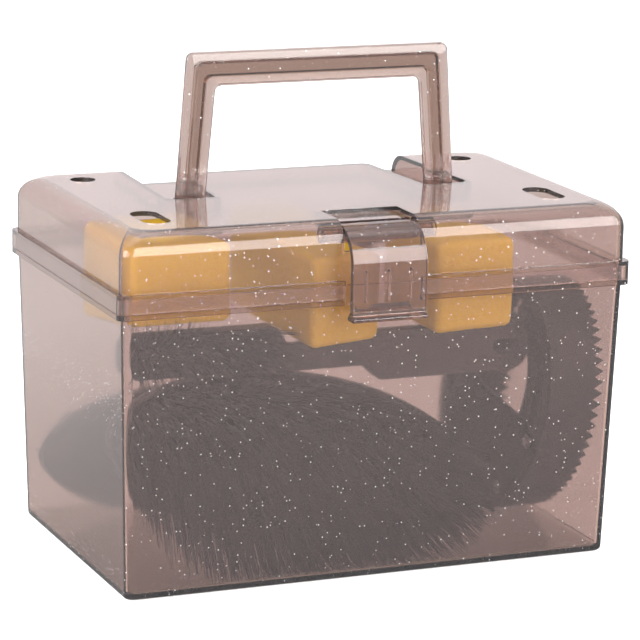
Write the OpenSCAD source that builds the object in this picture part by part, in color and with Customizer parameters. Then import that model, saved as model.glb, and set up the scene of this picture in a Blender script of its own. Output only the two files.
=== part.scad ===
// Grooming box: a clear tub with a hinged lid, a folding carry handle and a front latch.
// It is packed with an oval brush, a face brush, a handled brush, a curry comb and three sponges.
// All lengths are in millimetres, with the origin at the centre of the underside.

/* [Tub] */
// Width of the tub just under its lip
tub_w = 245.5; // [220:0.5:300]
// Depth of the tub just under its lip
tub_d = 154; // [135:0.5:190]
// Height of the tub up to its lip
tub_h = 130; // [110:1:160]
// How far each wall leans in at the base
tub_draft = 3.5; // [1:0.1:4]
// Wall thickness of the tub
tub_wall = 2.2; // [1.6:0.1:2.6]
// Floor thickness of the tub
tub_floor = 2.5; // [1.8:0.1:3.5]
// Radius of the upright corners of the tub
tub_corner_r = 3.5; // [3:0.1:5]
// Rounding between the walls and the base
base_r = 2; // [0.5:0.1:2.6]

/* [Rim] */
// How far the lip and the lid skirt stand out from the tub
rim_out = 2.7; // [2.2:0.1:3.2]
// Thickness of the lip
lip_t = 2.4; // [1.6:0.1:3]
// Radius of the upright corners of the rim
rim_corner_r = 4.5; // [3.5:0.1:6]
// Gap between the lip and the lid skirt
lid_gap = 0.3; // [0.2:0.1:0.6]

/* [Lid] */
// Height of the skirt
skirt_h = 8.4; // [7:0.1:12]
// Wall thickness of the skirt
skirt_wall = 2; // [1.6:0.1:2.1]
// Height of the lid above its skirt
lid_h = 26.5; // [25:0.5:34]
// Wall thickness of the lid
lid_wall = 2.2; // [1.8:0.1:2.6]
// Rounding along the top edge of the lid
lid_edge_r = 10.5; // [6:0.5:11]
// Radius of the upright corners of the lid
lid_corner_r = 5; // [4:0.1:7]
// Width of the two slots in the lid
slot_w = 13; // [8:0.5:16]
// Length of the two slots in the lid
slot_l = 29; // [20:0.5:34]
// Diameter of the two holes at the back of the lid
vent_d = 12; // [6:0.5:14]
// Distance of the slots and holes from the sides of the lid
slot_inset = 25.8; // [22:0.1:28]

/* [Handle] */
// Depth of the recess that the handle folds into
recess_depth = 8.5; // [7.5:0.1:9.2]
// Half width of the recess at its front
recess_front = 75.9; // [74:0.1:82]
// Half width of the recess at the back of the lid
recess_back = 72.2; // [71:0.1:74]
// Half width of the tongue at its root
tongue_front = 53; // [48:0.1:54]
// Half width of the tongue at its tip
tongue_back = 48.8; // [44:0.1:49.5]
// Distance of the tongue's tip in front of the back of the lid
tongue_gap = 22.9; // [22:0.1:30]
// Rounding of the tongue's corners
tongue_r = 4.5; // [2:0.5:8]
// Height of the handle above the lid
handle_rise = 66.5; // [50:0.5:67]
// Thickness of the handle at its core
handle_t = 7.4; // [6:0.1:8]
// Thickness of the handle at its edges
handle_edge_t = 3.2; // [2.4:0.1:5]
// Thickness of the handle's flanges beside its core
handle_flange_t = 3.8; // [3:0.1:5]
// Width of the step from the flanges up to the core
handle_step = 0.8; // [0.4:0.1:1.5]
// Width of the handle's core
handle_core_w = 5.6; // [4:0.1:7]
// Rounding of the handle's long edges
handle_edge_r = 0.8; // [0.3:0.1:1.2]
// Gap between each leg and the outer side of the recess
leg_gap = 5.3; // [2:0.1:6]
// Width of each leg at its foot
leg_w = 14.4; // [13:0.1:16]
// Half width of the handle at the top
handle_top = 65.2; // [60:0.1:66]
// Width of each leg at the top
leg_top_w = 14; // [12:0.1:15]
// Height of the grip bar
grip_h = 15.7; // [12:0.1:17]
// Rounding of the handle's corners
handle_r = 3.5; // [1:0.1:5]
// Radius of the handle's pivot pins
handle_pin_r = 2.4; // [1.8:0.1:2.6]

/* [Latch] */
// Width of the latch strap
latch_w = 36.4; // [28:0.1:40]
// Thickness of the latch strap
latch_t = 3; // [2:0.1:3.6]
// Radius of the curve where the strap bends over the lid
latch_r = 17; // [15:0.1:18]
// Distance that the strap reaches below the lip
latch_drop = 6.5; // [4:0.1:12]
// Radius of the barrel that the strap turns on
barrel_r = 4.4; // [4:0.1:5.2]
// Radius of the latch pins
latch_pin_r = 2; // [1.5:0.1:2.4]
// Length of each latch pin
latch_pin_l = 9; // [6:0.1:10]
// Gap between the strap and the sides of its cut-out
latch_gap = 0.45; // [0.3:0.05:0.8]
// Length of the ledge behind the strap
ledge_l = 15.2; // [10:0.1:18]
// Step down to the ledge behind the strap
ledge_drop = 2.2; // [1.5:0.1:2.6]

/* [Hinge] */
// Radius of the hinge knuckles
knuckle_r = 4; // [3.5:0.1:4.6]
// Radius of the hinge pins
hinge_pin_r = 2; // [1.5:0.1:2.4]
// Width of each knuckle on the lid
knuckle_w = 16; // [10:0.5:24]
// Width of each ear on the tub
ear_w = 6; // [4:0.5:8]
// Distance between the two hinges
hinge_span = 140; // [90:1:190]

/* [Oval brush] */
// Length of the oval brush as a share of the inside width of the tub
oval_l_share = 0.794; // [0.68:0.002:0.8]
// Width of the oval brush as a share of the height of the tub
oval_w_share = 0.6385; // [0.54:0.0005:0.646]
// Slope at which the oval brush leans in the tub
oval_tilt = 13; // [8:0.5:14]
// Length of its bristles
oval_bristle = 27; // [20:0.5:30]
// Thickness of the stock that holds the bristles
stock_t = 7; // [5:0.5:9]
// Thickness of the domed cover at its middle
oval_cover_t = 13; // [8:0.5:16]

/* [Face brush] */
// Length of the face brush as a share of the inside width of the tub
face_l_share = 0.534; // [0.43:0.002:0.554]
// Width of the face brush as a share of the height of the tub
face_w_share = 0.469; // [0.35:0.001:0.5]
// Length of its bristles
face_bristle = 14; // [10:0.5:16]
// Thickness of the domed cover at its middle
face_cover_t = 10; // [6:0.5:12]

/* [Handled brush] */
// Length of its head as a share of the whole handled brush
head_share = 0.3645; // [0.3:0.0005:0.37]
// Height of its head
head_h = 20; // [14:0.5:22]
// Height of its neck
neck_h = 12; // [8:0.5:14]
// Height of its grip
grip_w = 23; // [18:0.5:24]
// Thickness of the handled brush
long_t = 9; // [7:0.5:10]
// Length of its bristles
long_bristle = 19; // [14:0.5:20]
// Length of the hole for hanging it up
hang_l = 13.5; // [9:0.5:16]
// Width of the hole for hanging it up
hang_w = 6.6; // [4.5:0.1:8]

/* [Bristles] */
// Distance between strands of the two standing brushes
strand_pitch = 7.6; // [7:0.1:9]
// Distance between strands of the handled brush
fine_pitch = 4.5; // [4:0.1:6]
// Thickness of a strand at its root
strand_t = 1.7; // [1.2:0.1:2]
// Thickness of a strand at its tip
strand_tip = 0.9; // [0.6:0.1:1.2]

/* [Curry comb] */
// Length of the curry comb as a share of the inside depth of the tub
comb_l_share = 0.995; // [0.84:0.001:1]
// Width of the curry comb as a share of the inside depth of the tub
comb_w_share = 0.6865; // [0.6:0.0005:0.7]
// Height of the comb's rings without their teeth
comb_h = 23; // [16:0.5:26]
// Height of the teeth
tooth_h = 4.6; // [2:0.1:5]
// Wall thickness of the rings
ring_t = 3.4; // [2.4:0.1:4]
// Thickness of the spokes and back flange
web_t = 3; // [2:0.1:4]
// Distance between the two rings
ring_gap = 14; // [11:0.5:18]
// Width of the hand strap
band_w = 42; // [30:0.5:48]
// Thickness of the hand strap
band_t = 2; // [1.2:0.1:2.6]
// Height of the hand strap's arch
band_rise = 16; // [12:0.5:18]
// Radius of the studs that hold the hand strap
stud_r = 3.4; // [2.5:0.1:4]

/* [Sponges] */
// Height of the sponges as a share of the room between the handled brush and the lid
sponge_h_share = 0.897; // [0.7:0.001:0.9]
// Width of the left sponge as a share of the inside width of the tub
sponge_left_share = 0.205; // [0.15:0.001:0.21]
// Width of the middle sponge as a share of the inside width of the tub
sponge_mid_share = 0.145; // [0.11:0.001:0.15]
// Width of the right sponge as a share of the inside width of the tub
sponge_right_share = 0.171; // [0.13:0.001:0.175]
// Length of the middle sponge as a share of that of the other two
sponge_mid_l_share = 1.72; // [1:0.01:1.75]
// Rounding of the sponges' upright edges
sponge_r = 4; // [1:0.5:8]

/* [Hidden] */
$fn = 64;
// Fits and small clearances
pin_fit = 0.05;
seat = 0.3;
loose = 0.8;
over = 1;
thin = 0.02;
arc_steps = 6;
// Rim and lid sizes that follow from the tub
rim_w = tub_w + 2 * rim_out;
rim_d = tub_d + 2 * rim_out;
skirt_z = tub_h + lip_t + lid_gap;
skirt_top = skirt_z + skirt_h;
lid_top = skirt_top + lid_h;
lid_w = rim_w - 2 * skirt_wall;
lid_d = rim_d - 2 * skirt_wall;
upstand_top = skirt_top - lid_wall - lid_gap;
// Handle pivot and recess
recess_z = lid_top - recess_depth;
pivot_z = recess_z + seat + handle_t / 2;
recess_y_share = -0.0325;
recess_y = lid_d * recess_y_share;
pivot_y = recess_y + handle_t / 2 + seat * 10;
tongue_y = lid_d / 2 - tongue_gap;
function between(a, b, s) = a + (b - a) * s;
function recess_half(y) = between(recess_front, recess_back, (y - recess_y) / (lid_d / 2 - recess_y));
function tongue_half(y) = between(tongue_front, tongue_back, (y - recess_y) / (tongue_y - recess_y));
leg_out = recess_half(pivot_y) - leg_gap;
leg_in = leg_out - leg_w;
recess_reach = (recess_half(pivot_y) - tongue_half(pivot_y)) / 2 + 2 * lid_wall;
handle_top_z = lid_top + handle_rise;
window_top_z = handle_top_z - grip_h;
// Latch pivot, cut-out and catch
latch_top_z = lid_top - ledge_drop;
latch_front = rim_d / 2 + latch_t + latch_r * 0.26;
bend_y = -latch_front + latch_r;
bend_z = latch_top_z - latch_r;
barrel_y = bend_y;
barrel_z = latch_top_z - barrel_r;
latch_z = tub_h - latch_drop;
cut_half = latch_w / 2 + latch_gap;
ledge_y = barrel_y + barrel_r + loose;
cut_z = barrel_z - barrel_r - seat * 8;
catch_y = -(rim_d / 2 + latch_t * 0.5);
hook_y = catch_y - seat;
// Hinge axis
hinge_y = rim_d / 2 + knuckle_r + loose;
hinge_z = tub_h + lip_t / 2;
// Inside of the tub at a height
function draft_at(z) = tub_draft * (1 - z / tub_h);
function in_x(z) = tub_w / 2 - tub_wall - draft_at(z);
function in_y(z) = tub_d / 2 - tub_wall - draft_at(z);
bed_z = tub_floor + seat;
room_w = 2 * in_x(tub_floor);
room_d = 2 * in_y(tub_floor);
// Oval brush: half height of the tilted oval, then its place against the front wall
oval_l = room_w * oval_l_share;
oval_w = tub_h * oval_w_share;
oval_reach = norm([oval_l / 2 * sin(oval_tilt), oval_w / 2 * cos(oval_tilt)]);
oval_side = norm([oval_l / 2 * cos(oval_tilt), oval_w / 2 * sin(oval_tilt)]);
oval_z = bed_z + oval_reach;
oval_x = -in_x(oval_z) + oval_side + loose * 4;
oval_y = -in_y(tub_floor) + seat + oval_bristle;
oval_top = oval_z + oval_reach;
// Face brush: its place in the back left corner
face_l = room_w * face_l_share;
face_w = tub_h * face_w_share;
face_z = bed_z + face_w / 2;
face_x = -in_x(tub_floor) + seat + face_l / 2;
face_y = in_y(tub_floor) - seat - face_bristle;
// Curry comb: stands with its teeth towards the right wall
comb_tilt = 45;
comb_l = room_d * comb_l_share;
comb_w = room_d * comb_w_share;
comb_reach = norm([comb_l / 2 * sin(comb_tilt), comb_w / 2 * cos(comb_tilt)]);
comb_z = bed_z + comb_reach;
comb_x = in_x(tub_floor) - loose - tooth_h - comb_h;
comb_y = -in_y(comb_z) + loose + comb_reach;
tooth_pitch = 5.6;
stud_x_share = 0.3;
band_half = comb_w / 2 - ring_t;
// Handled brush: rests with its neck on the oval brush and reaches from the left wall to the comb
neck_z = oval_top + seat + neck_h / 2;
head_z = neck_z - neck_h / 2 + head_h / 2 + seat * 6;
grip_z = neck_z - grip_w * 0.09;
long_x = -in_x(neck_z) + loose * 9;
long_l = comb_x - loose * 2 - long_x;
head_l = long_l * head_share;
neck_x = long_x + head_l;
neck_run = neck_h * 0.7;
long_y = -in_y(tub_floor) + seat + long_bristle;
head_top = head_z + head_h / 2;
neck_top = neck_z + neck_h / 2;
grip_top = grip_z + grip_w / 2;
// Sponges: on the handled brush, with the middle one on its neck
sponge_y = -in_y(tub_h) + loose * 6;
sponge_l = recess_y - lid_wall - loose - sponge_y;
sponge_h = (lid_top - lid_wall - head_top) * sponge_h_share;
sponge_left_w = room_w * sponge_left_share;
sponge_mid_w = room_w * sponge_mid_share;
sponge_right_w = room_w * sponge_right_share;
sponge_right_x_share = 0.128;
sponge_mid_x = neck_x + neck_run + seat;
grip_x = sponge_mid_x + sponge_mid_w + seat;

// Rounded rectangle about the origin
module plate(w, d, r) {
    square([w - 2 * r, d], center = true);
    square([w, d - 2 * r], center = true);
    for (sx = [-1, 1], sy = [-1, 1]) translate([sx * (w / 2 - r), sy * (d / 2 - r)]) circle(r);
}

// Extrudes an outline drawn in depth and height along the width
module along_x(from, w) {
    translate([from, 0, 0]) rotate([90, 0, 90]) linear_extrude(w) children();
}

// Extrudes an outline drawn in width and height along the depth, from front to back
module along_y(from, t) {
    translate([0, from + t, 0]) rotate([90, 0, 0]) linear_extrude(t) children();
}

// Round bar along the width
module bar_x(from, to, y, z, r) {
    translate([from, y, z]) rotate([0, 90, 0]) cylinder(h = to - from, r = r);
}

// Closed outline whose corners, each given with its radius, are turned into arcs
function unit(v) = v / norm(v);
function flat(p) = [p[0], p[1]];
function turned(v, a) = [v[0] * cos(a) - v[1] * sin(a), v[0] * sin(a) + v[1] * cos(a)];
function corner(p, q, s, r) = let (
        a = unit(p - q), b = unit(s - q), half = acos(a * b) / 2,
        c = q + unit(a + b) * r / sin(half), from = q + a * r / tan(half) - c,
        sweep = -sign(cross(a, b)) * (180 - 2 * half))
    [for (k = [0:arc_steps]) c + turned(from, sweep * k / arc_steps)];
function rounded(pts) = let (n = len(pts)) [for (i = [0:n - 1])
    let (p = flat(pts[(i + n - 1) % n]), q = flat(pts[i]), s = flat(pts[(i + 1) % n]), r = pts[i][2])
    each (r > 0 ? corner(p, q, s, r) : [q])];

// Rounded rectangle at a height, as points for a skin
function rect_ring(w, d, r, z) = [for (q = [0:3], k = [0:arc_steps])
    let (a = 90 * (q + k / arc_steps), sx = q == 0 || q == 3 ? 1 : -1, sy = q < 2 ? 1 : -1)
    [sx * (w / 2 - r) + r * cos(a), sy * (d / 2 - r) + r * sin(a), z]];

// Closed skin through a stack of rings with the same number of points
// The ends of a bent strip, whose points run out along one side and back along the other, are closed in quads
module skin(rings, strip = false) {
    n = len(rings[0]);
    m = len(rings);
    end = strip
        ? [for (i = [0:n / 2 - 2]) [(n - i) % n, i + 1, i + 2, n - i - 1]]
        : [[for (k = [0:n - 1]) k]];
    polyhedron([for (g = rings) each g], concat(
        end, [for (f = end) [for (k = [len(f) - 1:-1:0]) (m - 1) * n + f[k]]],
        [for (i = [0:m - 2], k = [0:n - 1]) let (j = (k + 1) % n)
            each [[i * n + k, (i + 1) * n + k, (i + 1) * n + j], [i * n + k, (i + 1) * n + j, i * n + j]]]));
}

// One level of the leaning tub, drawn in by an inset
function tub_ring(z, inset, r) =
    rect_ring(tub_w - 2 * (draft_at(z) + inset), tub_d - 2 * (draft_at(z) + inset), r, z);

module tub_outside() {
    skin(concat([for (a = [0:22.5:90]) tub_ring(base_r * (1 - cos(a)), base_r * (1 - sin(a)), tub_corner_r)],
        [tub_ring(tub_h, 0, tub_corner_r)]));
}

module tub_inside() {
    r = tub_corner_r - tub_wall / 2;
    skin([tub_ring(tub_floor, tub_wall + r / 2, r), tub_ring(tub_floor + r / 2, tub_wall, r),
        tub_ring(tub_h, tub_wall, r)]);
}

// Ear on the back of the tub, as an outline in depth and height
module ear_outline() {
    root = tub_d / 2 - draft_at(tub_h - 4 * knuckle_r) - tub_wall / 2;
    translate([hinge_y, hinge_z]) circle(knuckle_r);
    polygon([[root, tub_h - 4 * knuckle_r], [hinge_y + knuckle_r * 0.71, hinge_z - knuckle_r * 0.71],
        [hinge_y, hinge_z], [rim_d / 2, tub_h + lip_t - lid_gap], [root, tub_h + lip_t - lid_gap]]);
}

module tub() {
    color("rosybrown") difference() {
        union() {
            tub_outside();
            translate([0, 0, tub_h]) linear_extrude(lip_t) plate(rim_w, rim_d, rim_corner_r);
            translate([0, 0, tub_h]) linear_extrude(upstand_top - tub_h) plate(tub_w, tub_d, tub_corner_r);
            for (side = [-1, 1], end = [-1, 1])
                along_x(
                    side * hinge_span / 2 + end * (knuckle_w / 2 + lid_gap + ear_w / 2) - ear_w / 2, ear_w)
                    ear_outline();
            along_x(-latch_w * 0.36, latch_w * 0.72) polygon([
                [-tub_d / 2 + tub_wall / 2, latch_z + latch_t * 0.9],
                [catch_y, latch_z + latch_t * 0.9], [catch_y, latch_z + latch_t * 1.3],
                [-tub_d / 2 + tub_wall / 2, tub_h]]);
        }
        tub_inside();
        translate([0, 0, tub_h - thin]) linear_extrude(upstand_top)
            plate(tub_w - 2 * tub_wall, tub_d - 2 * tub_wall, tub_corner_r - tub_wall / 2);
        translate([-cut_half, -rim_d / 2 - over, tub_h - thin])
            cube([2 * cut_half, rim_out + over, lip_t + 2 * thin]);
        for (side = [-1, 1])
            bar_x(side * hinge_span / 2 - knuckle_w - ear_w, side * hinge_span / 2 + knuckle_w + ear_w,
                hinge_y, hinge_z, hinge_pin_r + pin_fit);
    }
}

// Domed shell of the lid, drawn in by an inset
module lid_dome(inset) {
    r = lid_edge_r - inset;
    corner_r = lid_corner_r - inset / 2;
    skin(concat([rect_ring(lid_w - 2 * inset, lid_d - 2 * inset, corner_r,
            skirt_top - lid_wall - (inset > 0 ? over : 0))],
        [for (a = [0:11.25:90]) let (in = inset + r * (1 - cos(a)))
            rect_ring(lid_w - 2 * in, lid_d - 2 * in, corner_r + (in - inset) / 2,
                lid_top - inset - r + r * sin(a))]));
}

// Plan of the recess that takes the folded handle, grown outwards by an amount
module recess_plan(grow) {
    back = lid_d / 2 + over;
    difference() {
        polygon(rounded([[-recess_front - grow, recess_y - grow, tongue_r],
            [recess_front + grow, recess_y - grow, tongue_r],
            [recess_half(back) + grow, back, 0], [-recess_half(back) - grow, back, 0]]));
        polygon(rounded([[tongue_half(recess_y - 2 * lid_wall) - grow, recess_y - 2 * lid_wall, 0],
            [tongue_back - grow, tongue_y - grow, tongue_r], [-tongue_back + grow, tongue_y - grow, tongue_r],
            [-tongue_half(recess_y - 2 * lid_wall) + grow, recess_y - 2 * lid_wall, 0]]));
    }
}

module recess(grow) {
    translate([0, 0, recess_z - grow]) linear_extrude(recess_depth + grow + over) recess_plan(grow);
}

// Sunk ledge behind the latch strap, grown by an amount
module ledge(grow) {
    translate([-cut_half - grow, ledge_y - over, lid_top - ledge_drop - grow])
        cube([2 * (cut_half + grow), ledge_l + grow + over, ledge_drop + grow + over]);
}

// Knuckle on the back of the lid, as an outline in depth and height
module knuckle_outline() {
    translate([hinge_y, hinge_z]) circle(knuckle_r);
    polygon([[hinge_y, hinge_z + knuckle_r], [rim_d / 2 - skirt_wall / 2, skirt_top - skirt_wall],
        [rim_d / 2 - skirt_wall / 2, skirt_z + lid_gap],
        [hinge_y - knuckle_r * 0.8, hinge_z + knuckle_r * 0.6]]);
}

module lid() {
    color("rosybrown") difference() {
        union() {
            difference() {
                union() {
                    lid_dome(0);
                    translate([0, 0, skirt_z]) linear_extrude(skirt_h) plate(rim_w, rim_d, rim_corner_r);
                }
                recess(0);
                difference() {
                    lid_dome(lid_wall);
                    recess(lid_wall);
                    ledge(lid_wall);
                    for (side = [-1, 1]) bar_x(side * (cut_half + latch_pin_l / 2) - latch_pin_l / 2,
                        side * (cut_half + latch_pin_l / 2) + latch_pin_l / 2,
                        barrel_y, barrel_z, barrel_r - seat);
                }
                translate([0, 0, skirt_z - over]) linear_extrude(skirt_h - lid_wall + over)
                    plate(rim_w - 2 * skirt_wall, rim_d - 2 * skirt_wall, rim_corner_r - skirt_wall / 2);
            }
            for (side = [-1, 1]) {
                along_x(side * hinge_span / 2 - knuckle_w / 2, knuckle_w) knuckle_outline();
                bar_x(side * hinge_span / 2 - knuckle_w / 2 - lid_gap - ear_w,
                    side * hinge_span / 2 + knuckle_w / 2 + lid_gap + ear_w, hinge_y, hinge_z, hinge_pin_r);
            }
        }
        ledge(0);
        translate([-cut_half, -rim_d / 2 - over, cut_z])
            cube([2 * cut_half, ledge_y + rim_d / 2 + over, lid_top - cut_z + over]);
        translate([-cut_half, -rim_d / 2 - over, skirt_z - over])
            cube([2 * cut_half, skirt_wall + over, skirt_h + over]);
        bar_x(-cut_half - latch_pin_l - over, cut_half + latch_pin_l + over,
            barrel_y, barrel_z, latch_pin_r + pin_fit);
        for (side = [-1, 1]) {
            bar_x(side * (tongue_half(pivot_y) + recess_half(pivot_y)) / 2 - recess_reach,
                side * (tongue_half(pivot_y) + recess_half(pivot_y)) / 2 + recess_reach,
                pivot_y, pivot_z, handle_pin_r + pin_fit);
            translate([side * (lid_w / 2 - slot_inset), -lid_d * 0.264, lid_top - 2 * lid_wall])
                linear_extrude(4 * lid_wall) plate(slot_w, slot_l, slot_w / 2 - thin);
            translate([side * (lid_w / 2 - slot_inset), lid_d * 0.342, lid_top - 2 * lid_wall])
                cylinder(h = 4 * lid_wall, d = vent_d);
        }
    }
}

// Hoop of the handle seen from the front, drawn in from both edges
function hoop(inset) = rounded([
    [-leg_out + inset, pivot_z, 0], [-leg_in - inset, pivot_z, 0],
    [-handle_top + leg_top_w - inset, window_top_z + inset, handle_r],
    [handle_top - leg_top_w + inset, window_top_z + inset, handle_r],
    [leg_in + inset, pivot_z, 0], [leg_out - inset, pivot_z, 0],
    [handle_top - inset, handle_top_z - inset, handle_r],
    [-handle_top + inset, handle_top_z - inset, handle_r]]);

module handle() {
    foot = tongue_half(pivot_y) - lid_wall;
    socket = leg_out + leg_gap + lid_wall;
    core_inset = (grip_h - handle_core_w) / 2;
    // Inset and place in the depth of each level of the bar, from the back to the front
    half = [[core_inset, handle_t / 2], [core_inset - handle_step, handle_flange_t / 2],
        [handle_edge_r, handle_edge_t / 2], [0, handle_edge_t / 2 - handle_edge_r]];
    levels = concat(half, [for (k = [len(half) - 1:-1:0]) [half[k][0], -half[k][1]]]);
    color("rosybrown") {
        skin([for (level = levels) [for (p = hoop(level[0])) [p[0], pivot_y + level[1], p[1]]]],
            strip = true);
        for (side = [-1, 1]) {
            bar_x(side * (leg_out + leg_in) / 2 - leg_w / 2, side * (leg_out + leg_in) / 2 + leg_w / 2,
                pivot_y, pivot_z, handle_t / 2);
            bar_x(side > 0 ? foot : -socket, side > 0 ? socket : -foot, pivot_y, pivot_z, handle_pin_r);
        }
    }
}

// Side view of the latch strap
module latch_outline() {
    inner = latch_r - latch_t;
    polygon(concat(
        [for (a = [90:6:180]) [bend_y + latch_r * cos(a), bend_z + latch_r * sin(a)]],
        [[-latch_front, latch_z + latch_t], [-latch_front - latch_t * 0.5, latch_z + latch_t * 0.5],
         [-latch_front - latch_t * 0.5, latch_z], [hook_y, latch_z], [hook_y, latch_z + latch_t * 0.5],
         [-latch_front + latch_t, latch_z + latch_t * 1.4]],
        [for (a = [180:-6:90]) [bend_y + inner * cos(a), bend_z + inner * sin(a)]]));
    translate([barrel_y, barrel_z]) circle(barrel_r);
}

module latch() {
    rib = latch_t * 0.4;
    color("rosybrown") {
        along_x(-latch_w / 2, latch_w) latch_outline();
        bar_x(-latch_w / 2 - latch_pin_l + latch_gap, latch_w / 2 + latch_pin_l - latch_gap,
            barrel_y, barrel_z, latch_pin_r);
        for (k = [-1, 0, 1]) along_x(k * latch_w * 0.3 - rib / 2, rib) polygon([
            [-latch_front + latch_t * 0.5, latch_z + latch_t * 2.4],
            [-latch_front + latch_t + rib, latch_z + latch_t * 3],
            [-latch_front + latch_t + rib, bend_z - latch_t], [-latch_front + latch_t * 0.5, bend_z]]);
    }
}

// Oval outline whose ends are drawn out to points as its exponent grows
function oval(l, w, power) = [for (a = [0:6:354])
    [l / 2 * cos(a), w / 2 * sign(sin(a)) * pow(abs(sin(a)), power)]];
oval_power = 1.06;
face_power = 1.2;
root_t = stock_t * 0.25;

// Places a brush drawn with its bristles upwards so that they point to the front or the back
module oval_place() {
    translate([oval_x, oval_y, oval_z]) rotate([90, 0, 0]) rotate([0, 0, -oval_tilt]) children();
}
module face_place() {
    translate([face_x, face_y, face_z]) rotate([-90, 0, 0]) children();
}

// Strands from root points to spread tip points, as one mesh
function ring(p, t, z) = [
    [p[0] - t, p[1] - t, z], [p[0] + t, p[1] - t, z], [p[0] + t, p[1] + t, z], [p[0] - t, p[1] + t, z]];
module strands(roots, tips, length) {
    points = [for (i = [0:len(roots) - 1]) each concat(ring(roots[i], strand_t / 2, -root_t / 2),
        ring(tips[i], strand_tip / 2, length))];
    faces = [for (i = [0:len(roots) - 1]) let (o = 8 * i) each concat(
        [[o, o + 1, o + 2], [o, o + 2, o + 3], [o + 7, o + 6, o + 5], [o + 7, o + 5, o + 4]],
        [for (k = [0:3]) each [
            [o + k, o + 4 + k, o + 4 + (k + 1) % 4], [o + k, o + 4 + (k + 1) % 4, o + (k + 1) % 4]]])];
    polyhedron(points, faces);
}
row_share = 0.87;
function field(l, w, pitch) = [for (j = [-20:20], i = [-40:40])
    let (x = (i + (abs(j) % 2) / 2) * pitch, y = j * pitch * row_share)
    if (pow(2 * x / l, 2) + pow(2 * y / w, 2) < 1) [x, y]];
splay_share = 0.05;

module brush_slab(l, w, power, from, t) {
    translate([0, 0, from]) linear_extrude(t) polygon(oval(l, w, power));
}
module brush_cover(l, w, power, t) {
    skin([for (a = [90:-15:0]) let (in = w * 0.6 * (1 - cos(a)))
        [for (p = oval(l - in, w - in, power)) [p[0], p[1], -stock_t - t * sin(a)]]]);
}
module brush_bristles(l, w, power, length) {
    roots = field(l - 2 * stock_t, w - 2 * stock_t, strand_pitch);
    brush_slab(l, w, power, -root_t, root_t);
    strands(roots, [for (p = roots) p * (1 + splay_share)], length);
}

module oval_brush_stock() {
    color("dimgray") oval_place() brush_slab(oval_l, oval_w, oval_power, -stock_t, stock_t - root_t);
}
module oval_brush_cover() {
    color("dimgray") oval_place() brush_cover(oval_l, oval_w, oval_power, oval_cover_t);
}
module oval_brush_bristles() {
    color("black") oval_place() brush_bristles(oval_l, oval_w, oval_power, oval_bristle);
}
module face_brush_stock() {
    color("dimgray") face_place() brush_slab(face_l, face_w, face_power, -stock_t, stock_t - root_t);
}
module face_brush_cover() {
    color("dimgray") face_place() brush_cover(face_l, face_w, face_power, face_cover_t);
}
module face_brush_bristles() {
    color("black") face_place() brush_bristles(face_l, face_w, face_power, face_bristle);
}

// Handled brush seen from the front: head, waisted neck and full grip
module long_outline() {
    head_r = head_h * 0.3;
    end_x = long_x + long_l;
    polygon(rounded([
        [long_x, head_z - head_h / 2, head_r], [neck_x, head_z - head_h / 2, head_r],
        [neck_x + neck_h * 0.4, neck_z - neck_h / 2, neck_h / 4], [grip_x, neck_z - neck_h / 2, neck_h * 0.2],
        [grip_x + neck_run, grip_z - grip_w / 2, neck_h * 0.3], [end_x, grip_z - grip_w / 2, grip_w * 0.4],
        [end_x, grip_z + grip_w / 2, grip_w * 0.4], [grip_x + neck_run, grip_z + grip_w / 2, neck_h * 0.8],
        [grip_x + neck_h * 0.1, neck_top, neck_h * 0.2], [neck_x + neck_h * 0.5, neck_top, neck_h * 0.2],
        [neck_x, head_z + head_h / 2, head_r], [long_x, head_z + head_h / 2, head_r]]));
}

module handled_brush_body() {
    hole_x = long_x + long_l - hang_l * 0.85;
    color("dimgray") difference() {
        along_y(long_y + root_t, long_t - root_t) long_outline();
        along_y(long_y, long_t + over) translate([hole_x, grip_z]) plate(hang_l, hang_w, hang_w / 2 - thin);
    }
}

module handled_brush_bristles() {
    l = head_l - head_h * 0.5;
    w = head_h - 2 * strand_t;
    roots = [for (j = [-floor(w / 2 / fine_pitch):floor(w / 2 / fine_pitch)],
            i = [-floor(l / 2 / fine_pitch):floor(l / 2 / fine_pitch)])
        [(i + (abs(j) % 2) / 4) * fine_pitch, j * fine_pitch]];
    color("black") translate([long_x + head_l / 2, long_y, head_z]) rotate([90, 0, 0]) {
        translate([0, 0, -root_t]) linear_extrude(root_t) plate(head_l, head_h, head_h * 0.3);
        strands(roots, [for (p = roots) p * (1 + splay_share)], long_bristle);
    }
}

// Places the comb, drawn with its teeth upwards, so that they point to the right wall
module comb_place() {
    translate([comb_x, comb_y, comb_z]) rotate([comb_tilt, 0, 0]) rotate([0, 90, 0]) children();
}

// Oval ring wall with a crown of teeth
module crown(l, w, h) {
    teeth = floor(PI * (l + w) / 2 / tooth_pitch);
    n = 2 * teeth;
    function at(i, inset, z) = [
        (l / 2 - inset) * cos(180 * i / teeth), (w / 2 - inset) * sin(180 * i / teeth), z];
    points = [for (i = [0:n - 1]) let (top = h + (i % 2) * tooth_h)
        each [at(i, 0, 0), at(i, 0, top), at(i, ring_t, top), at(i, ring_t, 0)]];
    faces = [for (i = [0:n - 1], k = [0:3]) let (j = (i + 1) % n, m = (k + 1) % 4)
        each [[4 * i + k, 4 * i + m, 4 * j + m], [4 * i + k, 4 * j + m, 4 * j + k]]];
    polyhedron(points, faces);
}

module oval_band(l, w, t) {
    difference() {
        polygon(oval(l, w, 1));
        polygon(oval(l - 2 * t, w - 2 * t, 1));
    }
}

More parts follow.
